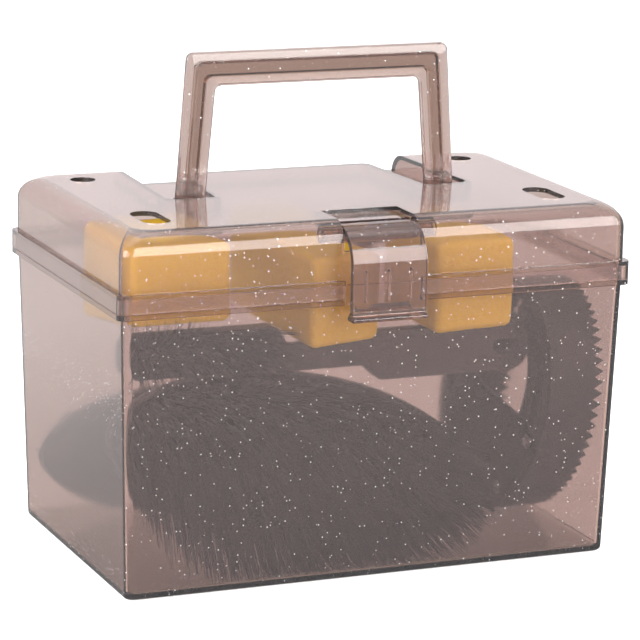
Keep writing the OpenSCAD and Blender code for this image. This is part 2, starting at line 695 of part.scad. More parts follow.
module curry_comb() {
    step = ring_t + ring_gap;
    color("dimgray") comb_place() difference() {
        union() {
            crown(comb_l, comb_w, comb_h);
            crown(comb_l - 2 * step, comb_w - 2 * step, comb_h);
            linear_extrude(web_t) {
                oval_band(comb_l - ring_t / 2, comb_w - ring_t / 2, ring_t * 2);
                oval_band(comb_l - 2 * step - ring_t / 2, comb_w - 2 * step - ring_t / 2, ring_t * 2);
                for (side = [-1, 1], k = [-1, 0, 1]) {
                    translate([k * comb_l * stud_x_share / 2 - web_t * 1.5,
                        side > 0 ? comb_w / 2 - ring_t * 0.6 - step * 1.1 : -comb_w / 2 + ring_t * 0.6])
                        square([web_t * 3, step * 1.1]);
                    translate([
                        side > 0 ? comb_l / 2 - ring_t * 0.6 - step * 1.1 : -comb_l / 2 + ring_t * 0.6,
                        k * comb_w * 0.14 - web_t])
                        square([step * 1.1, web_t * 2]);
                }
            }
        }
        for (side = [-1, 1], k = [-1, 1])
            translate([k * comb_l * stud_x_share / 2, side * (band_half - 2 * stud_r), -over])
                cylinder(h = web_t + 2 * over, r = stud_r * 0.5);
    }
}

// Hand strap across the back of the comb, arched for the fingers
module curry_comb_strap() {
    foot = band_half - 4 * stud_r;
    function arch(s) = -band_rise * pow(cos(90 * s), 2);
    steps = 16;
    color("black") comb_place() difference() {
        rotate([90, 0, 90]) translate([0, 0, -band_w / 2 - stud_r / 2]) linear_extrude(band_w + stud_r)
            polygon(concat(
                [[-band_half, 0]],
                [for (i = [-steps:steps]) [foot * i / steps, arch(i / steps)]],
                [[band_half, 0]],
                [[band_half, -band_t]],
                [for (i = [steps:-1:-steps]) [foot * i / steps, arch(i / steps) - band_t]],
                [[-band_half, -band_t]]));
        for (side = [-1, 1], k = [-1, 1])
            translate([k * comb_l * stud_x_share / 2, side * (band_half - 2 * stud_r), -band_t - over])
                cylinder(h = band_t + 2 * over, r = stud_r * 0.5);
    }
}

module curry_comb_studs() {
    color("silver") comb_place() for (side = [-1, 1], k = [-1, 1])
        translate([k * comb_l * stud_x_share / 2, side * (band_half - 2 * stud_r), -band_t]) {
            cylinder(h = band_t + web_t, r = stud_r * 0.5 - pin_fit);
            translate([0, 0, -stud_r * 0.4]) cylinder(h = stud_r * 0.4, r1 = stud_r * 0.6, r2 = stud_r);
        }
}

module sponge(x, z, w, l) {
    color("gold") translate([x + w / 2, sponge_y + l / 2, z + seat])
        linear_extrude(sponge_h) plate(w, l, sponge_r);
}
module sponge_left() sponge(-in_x(tub_h) + loose * 4, head_top, sponge_left_w, sponge_l);
module sponge_middle() sponge(sponge_mid_x, neck_top, sponge_mid_w, sponge_l * sponge_mid_l_share);
module sponge_right() sponge(room_w * sponge_right_x_share, grip_top, sponge_right_w, sponge_l);

tub();
lid();
handle();
latch();
oval_brush_stock();
oval_brush_cover();
oval_brush_bristles();
face_brush_stock();
face_brush_cover();
face_brush_bristles();
handled_brush_body();
handled_brush_bristles();
curry_comb();
curry_comb_strap();
curry_comb_studs();
sponge_left();
sponge_middle();
sponge_right();
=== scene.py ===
"""Grooming box: clear lidded tub with brushes, a curry comb and sponges, dressed around its CAD frame."""

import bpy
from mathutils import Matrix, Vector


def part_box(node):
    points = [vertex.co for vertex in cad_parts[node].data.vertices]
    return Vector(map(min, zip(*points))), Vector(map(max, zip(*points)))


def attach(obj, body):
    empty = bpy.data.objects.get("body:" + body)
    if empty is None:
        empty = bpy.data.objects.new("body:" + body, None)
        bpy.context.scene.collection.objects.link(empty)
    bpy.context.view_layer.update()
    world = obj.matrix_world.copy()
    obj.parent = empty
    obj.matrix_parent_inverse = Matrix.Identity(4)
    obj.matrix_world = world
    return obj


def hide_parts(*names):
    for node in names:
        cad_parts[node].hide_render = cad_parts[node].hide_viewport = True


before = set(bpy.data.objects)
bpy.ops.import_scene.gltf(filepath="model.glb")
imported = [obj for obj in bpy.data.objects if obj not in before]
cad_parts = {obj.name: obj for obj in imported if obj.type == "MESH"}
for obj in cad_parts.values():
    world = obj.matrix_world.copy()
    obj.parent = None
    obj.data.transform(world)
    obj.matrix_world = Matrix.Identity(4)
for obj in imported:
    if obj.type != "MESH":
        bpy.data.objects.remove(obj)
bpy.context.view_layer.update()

import logging
import math
import random
from dataclasses import dataclass, field
from enum import Enum
from typing import Any, Iterable, Iterator, Mapping, Optional, Sequence, Union

import bmesh
import bpy
from bmesh.types import BMEdge, BMesh, BMVert
from bpy.types import Material, Mesh, Node, NodeSocket, Object, World
from mathutils import Matrix, Vector, noise

log = logging.getLogger("grooming_box")
MM = 0.001
Colour = tuple[float, float, float]
Sockets = Mapping[Union[int, str], Any]
WHITE: Colour = (1.0, 1.0, 1.0)
NOISE_MEAN = 0.5


class Body(Enum):
    """Rigid bodies of the frame."""

    TUB = "tub"
    LID = "lid"
    HANDLE = "handle"
    LATCH = "latch"


class Slot(Enum):
    """Material slots of the record."""

    CLEAR = "clear_plastic"
    DARK = "dark_plastic"
    BRISTLE = "bristle"
    WEBBING = "webbing"
    STUD = "stud"
    SPONGE = "sponge"


class Facing(Enum):
    """Way in which a brush's bristles point."""

    FRONT = 1
    BACK = -1


# Shader bench


class Value:
    """Socket of a shader tree that takes part in Python arithmetic."""

    def __init__(self, bench: "Bench", socket: NodeSocket) -> None:
        """Keeps the bench that makes nodes and the socket that is read."""
        self.bench = bench
        self.socket = socket

    def _maths(self, operation: str, first: Any, second: Any) -> "Value":
        """Adds one Math node with two values or links, and reads its result."""
        return self.bench.value("ShaderNodeMath", {"operation": operation}, {0: first, 1: second})

    def __add__(self, other: Any) -> "Value":
        """Sum of two values."""
        return self._maths("ADD", self, other)

    def __radd__(self, other: Any) -> "Value":
        """Sum with the number on the left."""
        return self._maths("ADD", other, self)

    def __sub__(self, other: Any) -> "Value":
        """Difference of two values."""
        return self._maths("SUBTRACT", self, other)

    def __rsub__(self, other: Any) -> "Value":
        """Difference with the number on the left."""
        return self._maths("SUBTRACT", other, self)

    def __mul__(self, other: Any) -> "Value":
        """Product of two values."""
        return self._maths("MULTIPLY", self, other)

    def __rmul__(self, other: Any) -> "Value":
        """Product with the number on the left."""
        return self._maths("MULTIPLY", other, self)

    def __pow__(self, other: Any) -> "Value":
        """Power of a value."""
        return self._maths("POWER", self, other)

    def __lt__(self, other: Any) -> "Value":
        """One where the value is less than the other, and zero elsewhere."""
        return self._maths("LESS_THAN", self, other)

    def __gt__(self, other: Any) -> "Value":
        """One where the value is more than the other, and zero elsewhere."""
        return self._maths("GREATER_THAN", self, other)


class Bench:
    """Bench on which one material or world is wired."""

    def __init__(self, owner: Union[Material, World]) -> None:
        """Clears the owner's node tree.

        Args:
            owner: Material or world that is wired.
        """
        owner.use_nodes = True
        self.owner = owner
        self.tree = owner.node_tree
        self.tree.nodes.clear()

    @staticmethod
    def _find(sockets: Any, key: Union[int, str]) -> NodeSocket:
        """Finds a socket by its number, identifier or name.

        Args:
            sockets: Inputs or outputs of a node.
            key: Number, identifier or name.

        Returns:
            The socket.
        """
        if isinstance(key, int):
            return sockets[key]
        return next((s for s in sockets if s.identifier == key), None) or sockets[key]

    def node(
        self,
        kind: str,
        settings: Optional[Mapping[str, Any]] = None,
        sockets: Optional[Sockets] = None,
    ) -> Node:
        """Adds a node.

        Args:
            kind: The node's type.
            settings: Settings, which are set first.
            sockets: Values or links of its inputs.

        Returns:
            The new node.
        """
        made = self.tree.nodes.new(kind)
        for name, setting in (settings or {}).items():
            setattr(made, name, setting)
        for key, given in (sockets or {}).items():
            socket = self._find(made.inputs, key)
            if isinstance(given, Value):
                self.tree.links.new(given.socket, socket)
            elif socket.type == "RGBA":
                socket.default_value = (*given, 1.0)
            else:
                socket.default_value = given
        return made

    def read(self, node: Node, output: Union[int, str] = 0) -> Value:
        """Output of a node, ready for arithmetic."""
        return Value(self, self._find(node.outputs, output))

    def value(
        self,
        kind: str,
        settings: Optional[Mapping[str, Any]] = None,
        sockets: Optional[Sockets] = None,
        output: Union[int, str] = 0,
    ) -> Value:
        """Adds a node and reads one of its outputs.

        Args:
            kind: The node's type.
            settings: Settings, which are set first.
            sockets: Values or links of its inputs.
            output: The output that is read.

        Returns:
            The output, ready for arithmetic.
        """
        return self.read(self.node(kind, settings, sockets), output)

    def place(self) -> Value:
        """Object coordinates."""
        return self.value("ShaderNodeTexCoord", output="Object")

    def grain(self, size: float, detail: float) -> Value:
        """Soft noise over the Object coordinates.

        Args:
            size: Size of the grain in metres.
            detail: Number of finer layers.

        Returns:
            The noise, about its mean.
        """
        return self.value(
            "ShaderNodeTexNoise", {}, {"Vector": self.place(), "Scale": 1 / size, "Detail": detail}
        )

    def cells(self, feature: str, size: float) -> Node:
        """Scattered cells over the Object coordinates.

        Args:
            feature: Kind of distance that is measured.
            size: Size of a cell in metres.

        Returns:
            The node, whose first output is the distance to a cell's centre.
        """
        return self.node(
            "ShaderNodeTexVoronoi", {"feature": feature}, {"Vector": self.place(), "Scale": 1 / size}
        )

    def blend(self, factor: Any, first: Any, second: Any) -> Value:
        """Mix of two colours.

        Args:
            factor: Share of the second colour.
            first: First colour or link.
            second: Second colour or link.

        Returns:
            The mixed colour.
        """
        return self.value(
            "ShaderNodeMix",
            {"data_type": "RGBA"},
            {"Factor_Float": factor, "A_Color": first, "B_Color": second},
            "Result_Color",
        )

    def clamped(self, level: Value) -> Value:
        """The level, kept between 0 and 1."""
        return self.value("ShaderNodeClamp", {}, {"Value": level})

    def ramp(self, along: Value, rate: float, start: float) -> Value:
        """Ramp from 0 to 1.

        Args:
            along: Distance along the ramp.
            rate: Rise per unit of distance.
            start: Level at distance zero.

        Returns:
            The level, kept between 0 and 1.
        """
        return self.clamped(start + rate * along)

    def bump(self, height: Value, depth: float, strength: float) -> Value:
        """Bump from a height between 0 and 1.

        Args:
            height: The height.
            depth: Depth of the relief in metres.
            strength: Strength of the bump.

        Returns:
            The normal.
        """
        return self.value(
            "ShaderNodeBump", {}, {"Height": height, "Distance": depth, "Strength": strength}
        )

    def principled(self, sockets: Sockets) -> Value:
        """Principled surface with the given values or links of its inputs."""
        return self.value("ShaderNodeBsdfPrincipled", {}, sockets)

    def dress(self, sockets: Sockets) -> Material:
        """Finishes a material that is one principled surface."""
        return self.finish(self.principled(sockets))

    def finish(self, surface: Value, volume: Optional[Value] = None) -> Any:
        """Wires the output.

        Args:
            surface: Shader of the surface.
            volume: Shader of the inside, if there is one.

        Returns:
            The owner.
        """
        kind = "World" if isinstance(self.owner, World) else "Material"
        links = {"Surface": surface}
        if volume is not None:
            links["Volume"] = volume
        self.node(f"ShaderNodeOutput{kind}", {}, links)
        return self.owner


# Finishes


@dataclass(frozen=True)
class ClearPlastic:
    """Clear tinted plastic with silver flecks in it.

    Attributes:
        name: Name of the material.
        absorbs: Absorption of each colour per millimetre of depth.
        veil: Colour of the faint haze.
        haze: Share of the surface that scatters light.
        index: Index of refraction.
        headroom: Factor that keeps the depth's colour above black.
        roughness: Roughness of the clean surface.
        cloud_size, cloud_gloss, cloud_depth, cloud_strength: Its soft waves.
        fleck_cell: Size of the cells that may hold a fleck.
        fleck_radius: Radius of a fleck.
        fleck_share: Share of the cells that hold one.
        fleck_gloss: What a fleck adds to the roughness.
    """

    name: str
    absorbs: Colour
    veil: Colour
    haze: float = 0.03
    index: float = 1.49
    headroom: float = 1.1
    roughness: float = 0.08
    cloud_size: float = 9 * MM
    cloud_gloss: float = 0.02
    cloud_depth: float = 0.02 * MM
    cloud_strength: float = 0.5
    fleck_cell: float = 2.3 * MM
    fleck_radius: float = 0.30 * MM
    fleck_share: float = 0.25
    fleck_gloss: float = 0.45

    def make(self) -> Material:
        """Makes a material that bends light, whose depth darkens it and whose flecks shine."""
        bench = Bench(bpy.data.materials.new(self.name))
        cells = bench.cells("F1", self.fleck_cell)
        near = bench.read(cells, "Distance") < self.fleck_radius / self.fleck_cell
        chance = bench.value("ShaderNodeSeparateColor", {}, {0: bench.read(cells, "Color")})
        fleck = near * (chance < self.fleck_share)
        cloud = bench.grain(self.cloud_size, detail=2.0)
        surface = bench.principled(
            {
                "Base Color": bench.blend(fleck, self.veil, WHITE),
                "Metallic": fleck,
                "Roughness": self.roughness + self.fleck_gloss * fleck + self.cloud_gloss * cloud,
                "IOR": self.index,
                "Transmission Weight": 1 - self.haze,
                "Normal": bench.bump(cloud, self.cloud_depth, self.cloud_strength),
            }
        )
        most = max(self.absorbs) * self.headroom
        inside = bench.value(
            "ShaderNodeVolumeAbsorption",
            {},
            {"Color": tuple(1 - a / most for a in self.absorbs), "Density": most / MM},
        )
        return bench.finish(surface, inside)


@dataclass(frozen=True)
class MouldedPlastic:
    """Dark moulded plastic with a fine grain and faint scuffs."""

    name: str
    colour: Colour
    worn: Colour
    roughness: float = 0.45
    cloud_size: float = 14 * MM
    cloud_share: float = 0.6
    cloud_gloss: float = 0.2
    scuff_size: float = 3 * MM
    scuff_level: float = 0.63
    scuff_share: float = 0.25
    scuff_gloss: float = 0.05
    grain_size: float = 0.35 * MM
    grain_depth: float = 0.05 * MM
    grain_strength: float = 0.5

    def make(self) -> Material:
        """Makes a material with grain, scuffs and uneven gloss."""
        bench = Bench(bpy.data.materials.new(self.name))
        cloud = bench.grain(self.cloud_size, detail=3.0)
        scuff = bench.grain(self.scuff_size, detail=4.0) > self.scuff_level
        grain = bench.grain(self.grain_size, detail=1.0)
        wear = cloud * self.cloud_share + scuff * self.scuff_share
        uneven = self.cloud_gloss * (cloud - NOISE_MEAN) + self.scuff_gloss * scuff
        return bench.dress(
            {
                "Base Color": bench.blend(wear, self.colour, self.worn),
                "Roughness": self.roughness + uneven,
                "Normal": bench.bump(grain, self.grain_depth, self.grain_strength),
            }
        )


@dataclass(frozen=True)
class Fibre:
    """Dark bristle fibre, paler here and there."""

    name: str
    colour: Colour
    pale: Colour
    tuft_size: float = 2.5 * MM
    roughness: float = 0.35
    uneven_gloss: float = 0.3

    def make(self) -> Material:
        """Makes a material that varies from tuft to tuft."""
        bench = Bench(bpy.data.materials.new(self.name))
        tuft = bench.grain(self.tuft_size, detail=2.0)
        return bench.dress(
            {
                "Base Color": bench.blend(tuft**2, self.colour, self.pale),
                "Roughness": self.roughness + self.uneven_gloss * tuft,
            }
        )


@dataclass(frozen=True)
class Foam:
    """Open sponge foam with wide and fine pores. Painted shade darkens the pores up to a level of their
    cells, and soft clouds of random darker tone lie over it.
    """

    name: str
    colour: Colour
    # shade: colour that the painted pore shade and the random cloud tone darken the foam towards
    shade: Colour
    roughness: float = 0.95
    wide_size: float = 2.2 * MM
    wide_level: float = 0.3
    wide_shade: float = 0.35
    wide_relief: float = 0.6
    fine_size: float = 0.9 * MM
    fine_level: float = 0.28
    fine_shade: float = 0.245
    cloud_size: float = 22 * MM
    cloud_shade: float = 0.25
    depth: float = 0.5 * MM
    strength: float = 0.6

    def make(self) -> Material:
        """Makes a material with painted shade in its pores, random darker clouds and a soft, dry surface.
        """
        bench = Bench(bpy.data.materials.new(self.name))
        wide = bench.read(bench.cells("SMOOTH_F1", self.wide_size))
        fine = bench.read(bench.cells("F1", self.fine_size))
        cloud = bench.grain(self.cloud_size, detail=3.0)
        # Painted shade: the pores are mixed towards the shade colour as if shade fell in them; the cloud
        # adds random darker tone of the foam itself
        pores = (wide < self.wide_level) * self.wide_shade + (fine < self.fine_level) * self.fine_shade
        relief = wide * self.wide_relief + fine * (1 - self.wide_relief)
        return bench.dress(
            {
                "Base Color": bench.blend(pores + cloud * self.cloud_shade, self.colour, self.shade),
                "Roughness": self.roughness,
                "Normal": bench.bump(relief, self.depth, self.strength),
            }
        )


@dataclass(frozen=True)
class Webbing:
    """Woven strap with ribs across it."""

    name: str
    colour: Colour
    thread: Colour
    warp: float = 9.0
    weft: float = 14.0
    wander: float = 0.4
    roughness: float = 0.8
    depth: float = 0.3 * MM
    strength: float = 0.8

    def make(self) -> Material:
        """Makes a material whose weave follows the strap's own map."""
        bench = Bench(bpy.data.materials.new(self.name))
        at = bench.value("ShaderNodeTexCoord", output="UV")
        warp, weft = (
            bench.value(
                "ShaderNodeTexWave",
                {"bands_direction": axis},
                {"Vector": at, "Scale": scale, "Distortion": self.wander},
            )
            for axis, scale in (("X", self.warp), ("Y", self.weft))
        )
        weave = warp * weft
        return bench.dress(
            {
                "Base Color": bench.blend(weave, self.colour, self.thread),
                "Roughness": self.roughness,
                "Normal": bench.bump(weave, self.depth, self.strength),
            }
        )


@dataclass(frozen=True)
class Plated:
    """Plated steel of the studs."""

    name: str
    colour: Colour
    roughness: float = 0.25
    cloud_size: float = 0.8 * MM
    cloud_gloss: float = 0.2

    def make(self) -> Material:
        """Makes a material with faint brushing."""
        bench = Bench(bpy.data.materials.new(self.name))
        gloss = self.roughness + self.cloud_gloss * bench.grain(self.cloud_size, detail=3.0)
        return bench.dress({"Base Color": self.colour, "Metallic": 1.0, "Roughness": gloss})


CLEAR = ClearPlastic("clear_brown_plastic", absorbs=(0.146, 0.200, 0.242), veil=(0.95, 0.87, 0.90))
BRUSH_BACK = MouldedPlastic("brush_back_plastic", colour=(0.026, 0.022, 0.022), worn=(0.055, 0.046, 0.046))
COMB_RUBBER = MouldedPlastic(
    "comb_rubber", colour=(0.014, 0.013, 0.014), worn=(0.032, 0.029, 0.030), roughness=0.55
)
HAIR = Fibre("brush_hair", colour=(0.010, 0.009, 0.012), pale=(0.050, 0.043, 0.049))
SPONGE = Foam("sponge_foam", colour=(0.90, 0.69, 0.055), shade=(0.87, 0.54, 0.035))
STRAP = Webbing("strap_weave", colour=(0.012, 0.011, 0.012), thread=(0.045, 0.040, 0.042))
STUD = Plated("stud_plating", colour=(0.16, 0.15, 0.15))


# Mesh tools

WELD = 0.002 * MM
FLAT = math.radians(0.4)
SHARP = math.radians(35.0)


def clamp(value: float, low: float = 0.0, high: float = 1.0) -> float:
    """The value, kept between two limits."""
    return min(high, max(low, value))


def is_sharp(line: BMEdge) -> bool:
    """Whether two faces meet at an edge too sharply to shade as one."""
    return len(line.link_faces) == 2 and line.calc_face_angle() > SHARP


def round_edges(bm: BMesh, lines: list[BMEdge], width: float, segments: int) -> None:
    """Rounds edges.

    Args:
        bm: Mesh that is changed.
        lines: The edges.
        width: Width of the rounding in metres.
        segments: Number of faces across it.
    """
    bmesh.ops.bevel(
        bm,
        geom=lines,
        offset=width,
        offset_type="OFFSET",
        affect="EDGES",
        segments=segments,
        profile=0.5,
        material=-1,
        clamp_overlap=True,
    )


def add_object(name: str, bm: BMesh, material: Material) -> Object:
    """Turns a bmesh into an object at the origin.

    Args:
        name: Name of the piece.
        bm: Mesh, which is freed.
        material: Its finish.

    Returns:
        The object, linked to the scene.
    """
    mesh = bpy.data.meshes.new(name)
    bm.to_mesh(mesh)
    bm.free()
    mesh.materials.append(material)
    made = bpy.data.objects.new(name, mesh)
    bpy.context.scene.collection.objects.link(made)
    return made


def settle(piece: Object, body: Body, slot: Slot, *nodes: str) -> Object:
    """Puts a piece on its body and reports it.

    Args:
        piece: The piece.
        body: Body that it rides on.
        slot: Material slot that it would take its finish from; not used.
        nodes: CAD nodes that it stands for.

    Returns:
        The piece.
    """
    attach(piece, body.value)
    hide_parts(*nodes)
    log.info("%s: %d faces on %s", piece.name, len(piece.data.polygons), body.value)
    return piece


def corner_normals(bm: BMesh) -> list[Vector]:
    """Works out a shading normal for each corner of each face.

    Args:
        bm: Mesh whose face normals are up to date.

    Returns:
        Mean normals, by area, of the faces at each corner that turn little from the corner's own.
    """
    least = math.cos(SHARP)
    ways = []
    for face in bm.faces:
        for corner in face.loops:
            near = [f for f in corner.vert.link_faces if f.normal.dot(face.normal) > least]
            ways.append(sum((f.normal * f.calc_area() for f in near), Vector()).normalized())
    return ways


def moulding(name: str, node: str, material: Material, edge: float = 0.0) -> Object:
    """Copies a CAD node as one closed mesh with softened edges.

    Args:
        name: Name of the piece.
        node: CAD node that is copied.
        material: Its finish.
        edge: Width of the softened edges in metres, or 0.

    Returns:
        The object.
    """
    bm = bmesh.new()
    bm.from_mesh(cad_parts[node].data)
    bmesh.ops.remove_doubles(bm, verts=bm.verts[:], dist=WELD)
    bmesh.ops.dissolve_degenerate(bm, edges=bm.edges[:], dist=WELD)
    bmesh.ops.dissolve_limit(
        bm, angle_limit=FLAT, verts=bm.verts[:], edges=bm.edges[:], use_dissolve_boundaries=False
    )
    if edge > 0:
        round_edges(bm, [line for line in bm.edges if is_sharp(line)], edge, segments=2)
    for face in bm.faces:
        face.smooth = True
        face.material_index = 0
    for line in bm.edges:
        if is_sharp(line):
            line.smooth = False
    bm.normal_update()
    ways = corner_normals(bm)
    made = add_object(name, bm, material)
    made.data.normals_split_custom_set(ways)
    return made


# The clear box


@dataclass
class Casing:
    """Clear box: tub, lid, carry handle and latch."""

    edge: float = 0.4 * MM

    def build(self) -> list[Object]:
        """Copies and dresses the four clear mouldings."""
        clear = CLEAR.make()
        made = []
        for body in Body:
            piece = moulding(f"{body.value}_moulding", body.value, clear, self.edge)
            made.append(settle(piece, body, Slot.CLEAR, body.value))
        return made


# The brushes


@dataclass(frozen=True)
class Hair:
    """Size and set of the hairs of one brush.

    Attributes:
        length: Length of the longest hairs.
        root, tip: Radius at each end.
        per_tuft: Number of hairs in a tuft.
        pitch: Distance between tufts.
        splay: Slope of the outermost tufts.
        bend: How far a hair curls to its side.
        sag: How far the tips hang down.
    """

    length: float
    root: float
    tip: float
    per_tuft: int
    pitch: float
    splay: float
    bend: float
    sag: float = 0.0


class Tufts:
    """Field of hair tufts, laid on a flat root with the hairs upwards.

    Attributes:
        KINDS: Number of different tufts.
        SIDES, CUTS: Number of a hair's sides, and of the cuts along it.
        SHORTEST: Length of the shortest hairs, as a share of the longest.
        SPREAD: Reach of a tuft, as a share of the pitch.
        LEAST_CURL: Curl of the straightest hairs, as a share of the bend.
        UNEVEN_LEAN: Unevenness of the tufts' slopes.
        SAG_POWER: Power with which the tips sag more than the roots.
        SAG_LOWER: How much more the lower hairs sag.
        SAG_MIDDLE, SAG_SIDE, SAG_LEAST: Share of the sag at the middle, its growth to the left, its least.
    """

    KINDS = 6
    SIDES = 3
    CUTS = 2
    SHORTEST = 0.86
    SPREAD = 0.42
    LEAST_CURL = 0.2
    UNEVEN_LEAN = 0.02
    SAG_POWER = 1.6
    SAG_LOWER = 1.2
    SAG_MIDDLE = 0.55
    SAG_SIDE = 0.6
    SAG_LEAST = 0.1

    def __init__(self, hair: Hair, seed: int) -> None:
        """Makes the kinds of tuft that the field repeats.

        Args:
            hair: Size and set of the hairs.
            seed: Seed of the field's random draws.
        """
        self.hair = hair
        self.draw = random.Random(seed)
        self.kinds = [self._tuft(k) for k in range(self.KINDS)]

    def _strand(self) -> BMesh:
        """Makes the mesh of one curled hair."""
        hair, draw = self.hair, self.draw
        tall = hair.length * draw.uniform(self.SHORTEST, 1.0)
        strand = bmesh.new()
        bmesh.ops.create_cone(
            strand,
            segments=self.SIDES,
            radius1=hair.root,
            radius2=hair.tip,
            depth=tall,
            cap_ends=True,
        )
        bmesh.ops.translate(strand, verts=strand.verts[:], vec=(0, 0, tall / 2))
        for cut in range(1, self.CUTS + 1):
            bmesh.ops.bisect_plane(
                strand,
                geom=strand.verts[:] + strand.edges[:] + strand.faces[:],
                plane_co=(0, 0, tall * cut / (self.CUTS + 1)),
                plane_no=(0, 0, 1),
            )
        turn = draw.uniform(0, math.tau)
        away = draw.uniform(0, self.SPREAD) * hair.pitch
        curl = draw.uniform(self.LEAST_CURL, 1.0) * hair.bend
        lean = Vector((math.cos(turn), math.sin(turn), 0))
        for v in strand.verts:
            v.co += lean * (away + curl * (v.co.z / hair.length) ** 2)
        return strand

    def _tuft(self, number: int) -> Mesh:
        """Makes one tuft of hairs.

        Args:
            number: Number of the kind.

        Returns:
            Its mesh.
        """
        bm = bmesh.new()
        mesh = bpy.data.meshes.new(f"tuft_{number}")
        for _ in range(self.hair.per_tuft):
            strand = self._strand()
            strand.to_mesh(mesh)
            strand.free()
            bm.from_mesh(mesh)
        for face in bm.faces:
            face.smooth = True
        bm.to_mesh(mesh)
        bm.free()
        return mesh

    def plant(self, bm: BMesh, sites: Iterable[tuple[float, float]], outward: Vector) -> int:
        """Plants a tuft at each site.

        Args:
            bm: Mesh that takes the tufts.
            sites: Places on the root plane.
            outward: Half sizes over which the lean grows to its full splay.

        Returns:
            The number of tufts.
        """
        count = 0
        for x, y in sites:
            shear = Matrix.Identity(4)
            shear[0][2] = self.hair.splay * x / outward.x + self.draw.gauss(0, self.UNEVEN_LEAN)
            shear[1][2] = self.hair.splay * y / outward.y + self.draw.gauss(0, self.UNEVEN_LEAN)
            tuft = self.draw.choice(self.kinds).copy()
            turn = Matrix.Rotation(self.draw.uniform(0, math.tau), 4, "Z")
            tuft.transform(Matrix.Translation((x, y, 0)) @ shear @ turn)
            bm.from_mesh(tuft)
            bpy.data.meshes.remove(tuft)
            count += 1
        return count

    def hang(self, bm: BMesh, down: Vector, half: Vector) -> None:
        """Lets the hairs sag towards their tips, most at the lower left.

        Args:
            bm: Mesh with the planted hairs.
            down: Way down, in the root plane's frame.
            half: Half sizes of the brush.
        """
        for v in bm.verts:
            if v.co.z > 0:
                lower = v.co.dot(down) / half.y
                left = clamp(self.SAG_MIDDLE - self.SAG_SIDE * v.co.x / half.x, low=self.SAG_LEAST)
                tipward = (v.co.z / self.hair.length) ** self.SAG_POWER
                v.co += down * self.hair.sag * left * (1 + self.SAG_LOWER * lower) * tipward

    def clear(self) -> None:
        """Removes the kinds of tuft once the field is planted."""
        for mesh in self.kinds:
            bpy.data.meshes.remove(mesh)


def settle_hair(brush: str, bm: BMesh, fibre: Material, tufts: int) -> Object:
    """Puts the hair of a brush in place of its CAD bristles.

    Args:
        brush: Name of the brush.
        bm: Mesh of the hair, which is freed.
        fibre: Its finish.
        tufts: Number of tufts.

    Returns:
        The hair.
    """
    log.info("%s: %d tufts", brush, tufts)
    hair = add_object(f"{brush}_hair", bm, fibre)
    return settle(hair, Body.TUB, Slot.BRISTLE, f"{brush}_bristles")


@dataclass
class OvalBrush:
    """Brush with an oval back: stock, domed cover and a field of hair.

    Attributes:
        name: Name of the brush.
        length, width: Size of its back.
        power: Power that points the ends of the oval.
        tilt: Turn of the brush in degrees, its left end upwards.
        facing: Way in which the hair points.
        hair: Size and set of the hair.
        seed: Seed of its random draws.
        root: Thickness of the slab that carries the hair.
        margin: Bare border round the hair.
        lowest: Height below which no hair hangs.
        row_step: Distance between rows, as a share of the pitch.
        jitter: Unevenness of the tufts' places, as a share of the pitch.
    """

    name: str
    length: float
    width: float
    power: float
    tilt: float
    facing: Facing
    hair: Hair
    seed: int
    root: float = 1.75 * MM
    margin: float = 4.0 * MM
    lowest: float = 3.2 * MM
    row_step: float = 0.866
    jitter: float = 0.15

    def placed(self) -> Matrix:
        """Transform from the brush's own frame, hairs upwards, to the box."""
        low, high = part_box(f"{self.name}_stock")
        middle = (low + high) / 2
        y = low.y - self.root if self.facing is Facing.FRONT else high.y + self.root
        turn = Matrix.Rotation(math.radians(90 * self.facing.value), 4, "X")
        lean = Matrix.Rotation(math.radians(-self.tilt), 4, "Z")
        return Matrix.Translation((middle.x, y, middle.z)) @ turn @ lean

    def sites(self, draw: random.Random) -> Iterator[tuple[float, float]]:
        """Staggered places of the tufts inside the oval.

        Args:
            draw: Source of the small unevenness.

        Yields:
            Places on the root plane.
        """
        pitch = self.hair.pitch
        half_l, half_w = self.length / 2 - self.margin, self.width / 2 - self.margin
        rows = int(half_w / (pitch * self.row_step)) + 1
        across = int(half_l / pitch) + 1
        for j in range(-rows, rows + 1):
            for i in range(-across, across + 1):
                x = (i + (j % 2) / 2 + draw.uniform(-self.jitter, self.jitter)) * pitch
                y = (j + draw.uniform(-self.jitter, self.jitter)) * pitch * self.row_step
                if (x / half_l) ** 2 + (y / half_w) ** 2 < 1:
                    yield x, y

    def slab(self, bm: BMesh) -> None:
        """Adds the slab that carries the hair.

        Args:
            bm: Mesh that takes it.
        """
        rim = bmesh.ops.create_circle(bm, cap_ends=True, radius=1.0, segments=60)["verts"]
        for v in rim:
            v.co.x *= self.length / 2
            v.co.y = math.copysign(abs(v.co.y) ** self.power, v.co.y) * self.width / 2
        copied = bmesh.ops.extrude_face_region(bm, geom=bm.faces[:])["geom"]
        lower = [g for g in copied if isinstance(g, BMVert)]
        bmesh.ops.translate(bm, verts=lower, vec=(0, 0, -self.root))
        bmesh.ops.recalc_face_normals(bm, faces=bm.faces[:])

    def build(self, plastic: Material, fibre: Material) -> list[Object]:
        """Builds the brush.

        Args:
            plastic: Finish of the stock and cover.
            fibre: Finish of the hair.

        Returns:
            Its pieces.
        """
        made = []
        for part in ("stock", "cover"):
            node = f"{self.name}_{part}"
            piece = moulding(f"{node}_moulding", node, plastic)
            made.append(settle(piece, Body.TUB, Slot.DARK, node))
        bm = bmesh.new()
        self.slab(bm)
        tufts = Tufts(self.hair, self.seed)
        half = Vector((self.length / 2, self.width / 2, 0))
        count = tufts.plant(bm, self.sites(tufts.draw), half)
        tufts.clear()
        placed = self.placed()
        tufts.hang(bm, placed.to_3x3().inverted() @ Vector((0, 0, -1)), half)
        bmesh.ops.transform(bm, matrix=placed, verts=bm.verts[:])
        for v in bm.verts:
            v.co.z = max(v.co.z, self.lowest)
        made.append(settle_hair(self.name, bm, fibre, count))
        return made


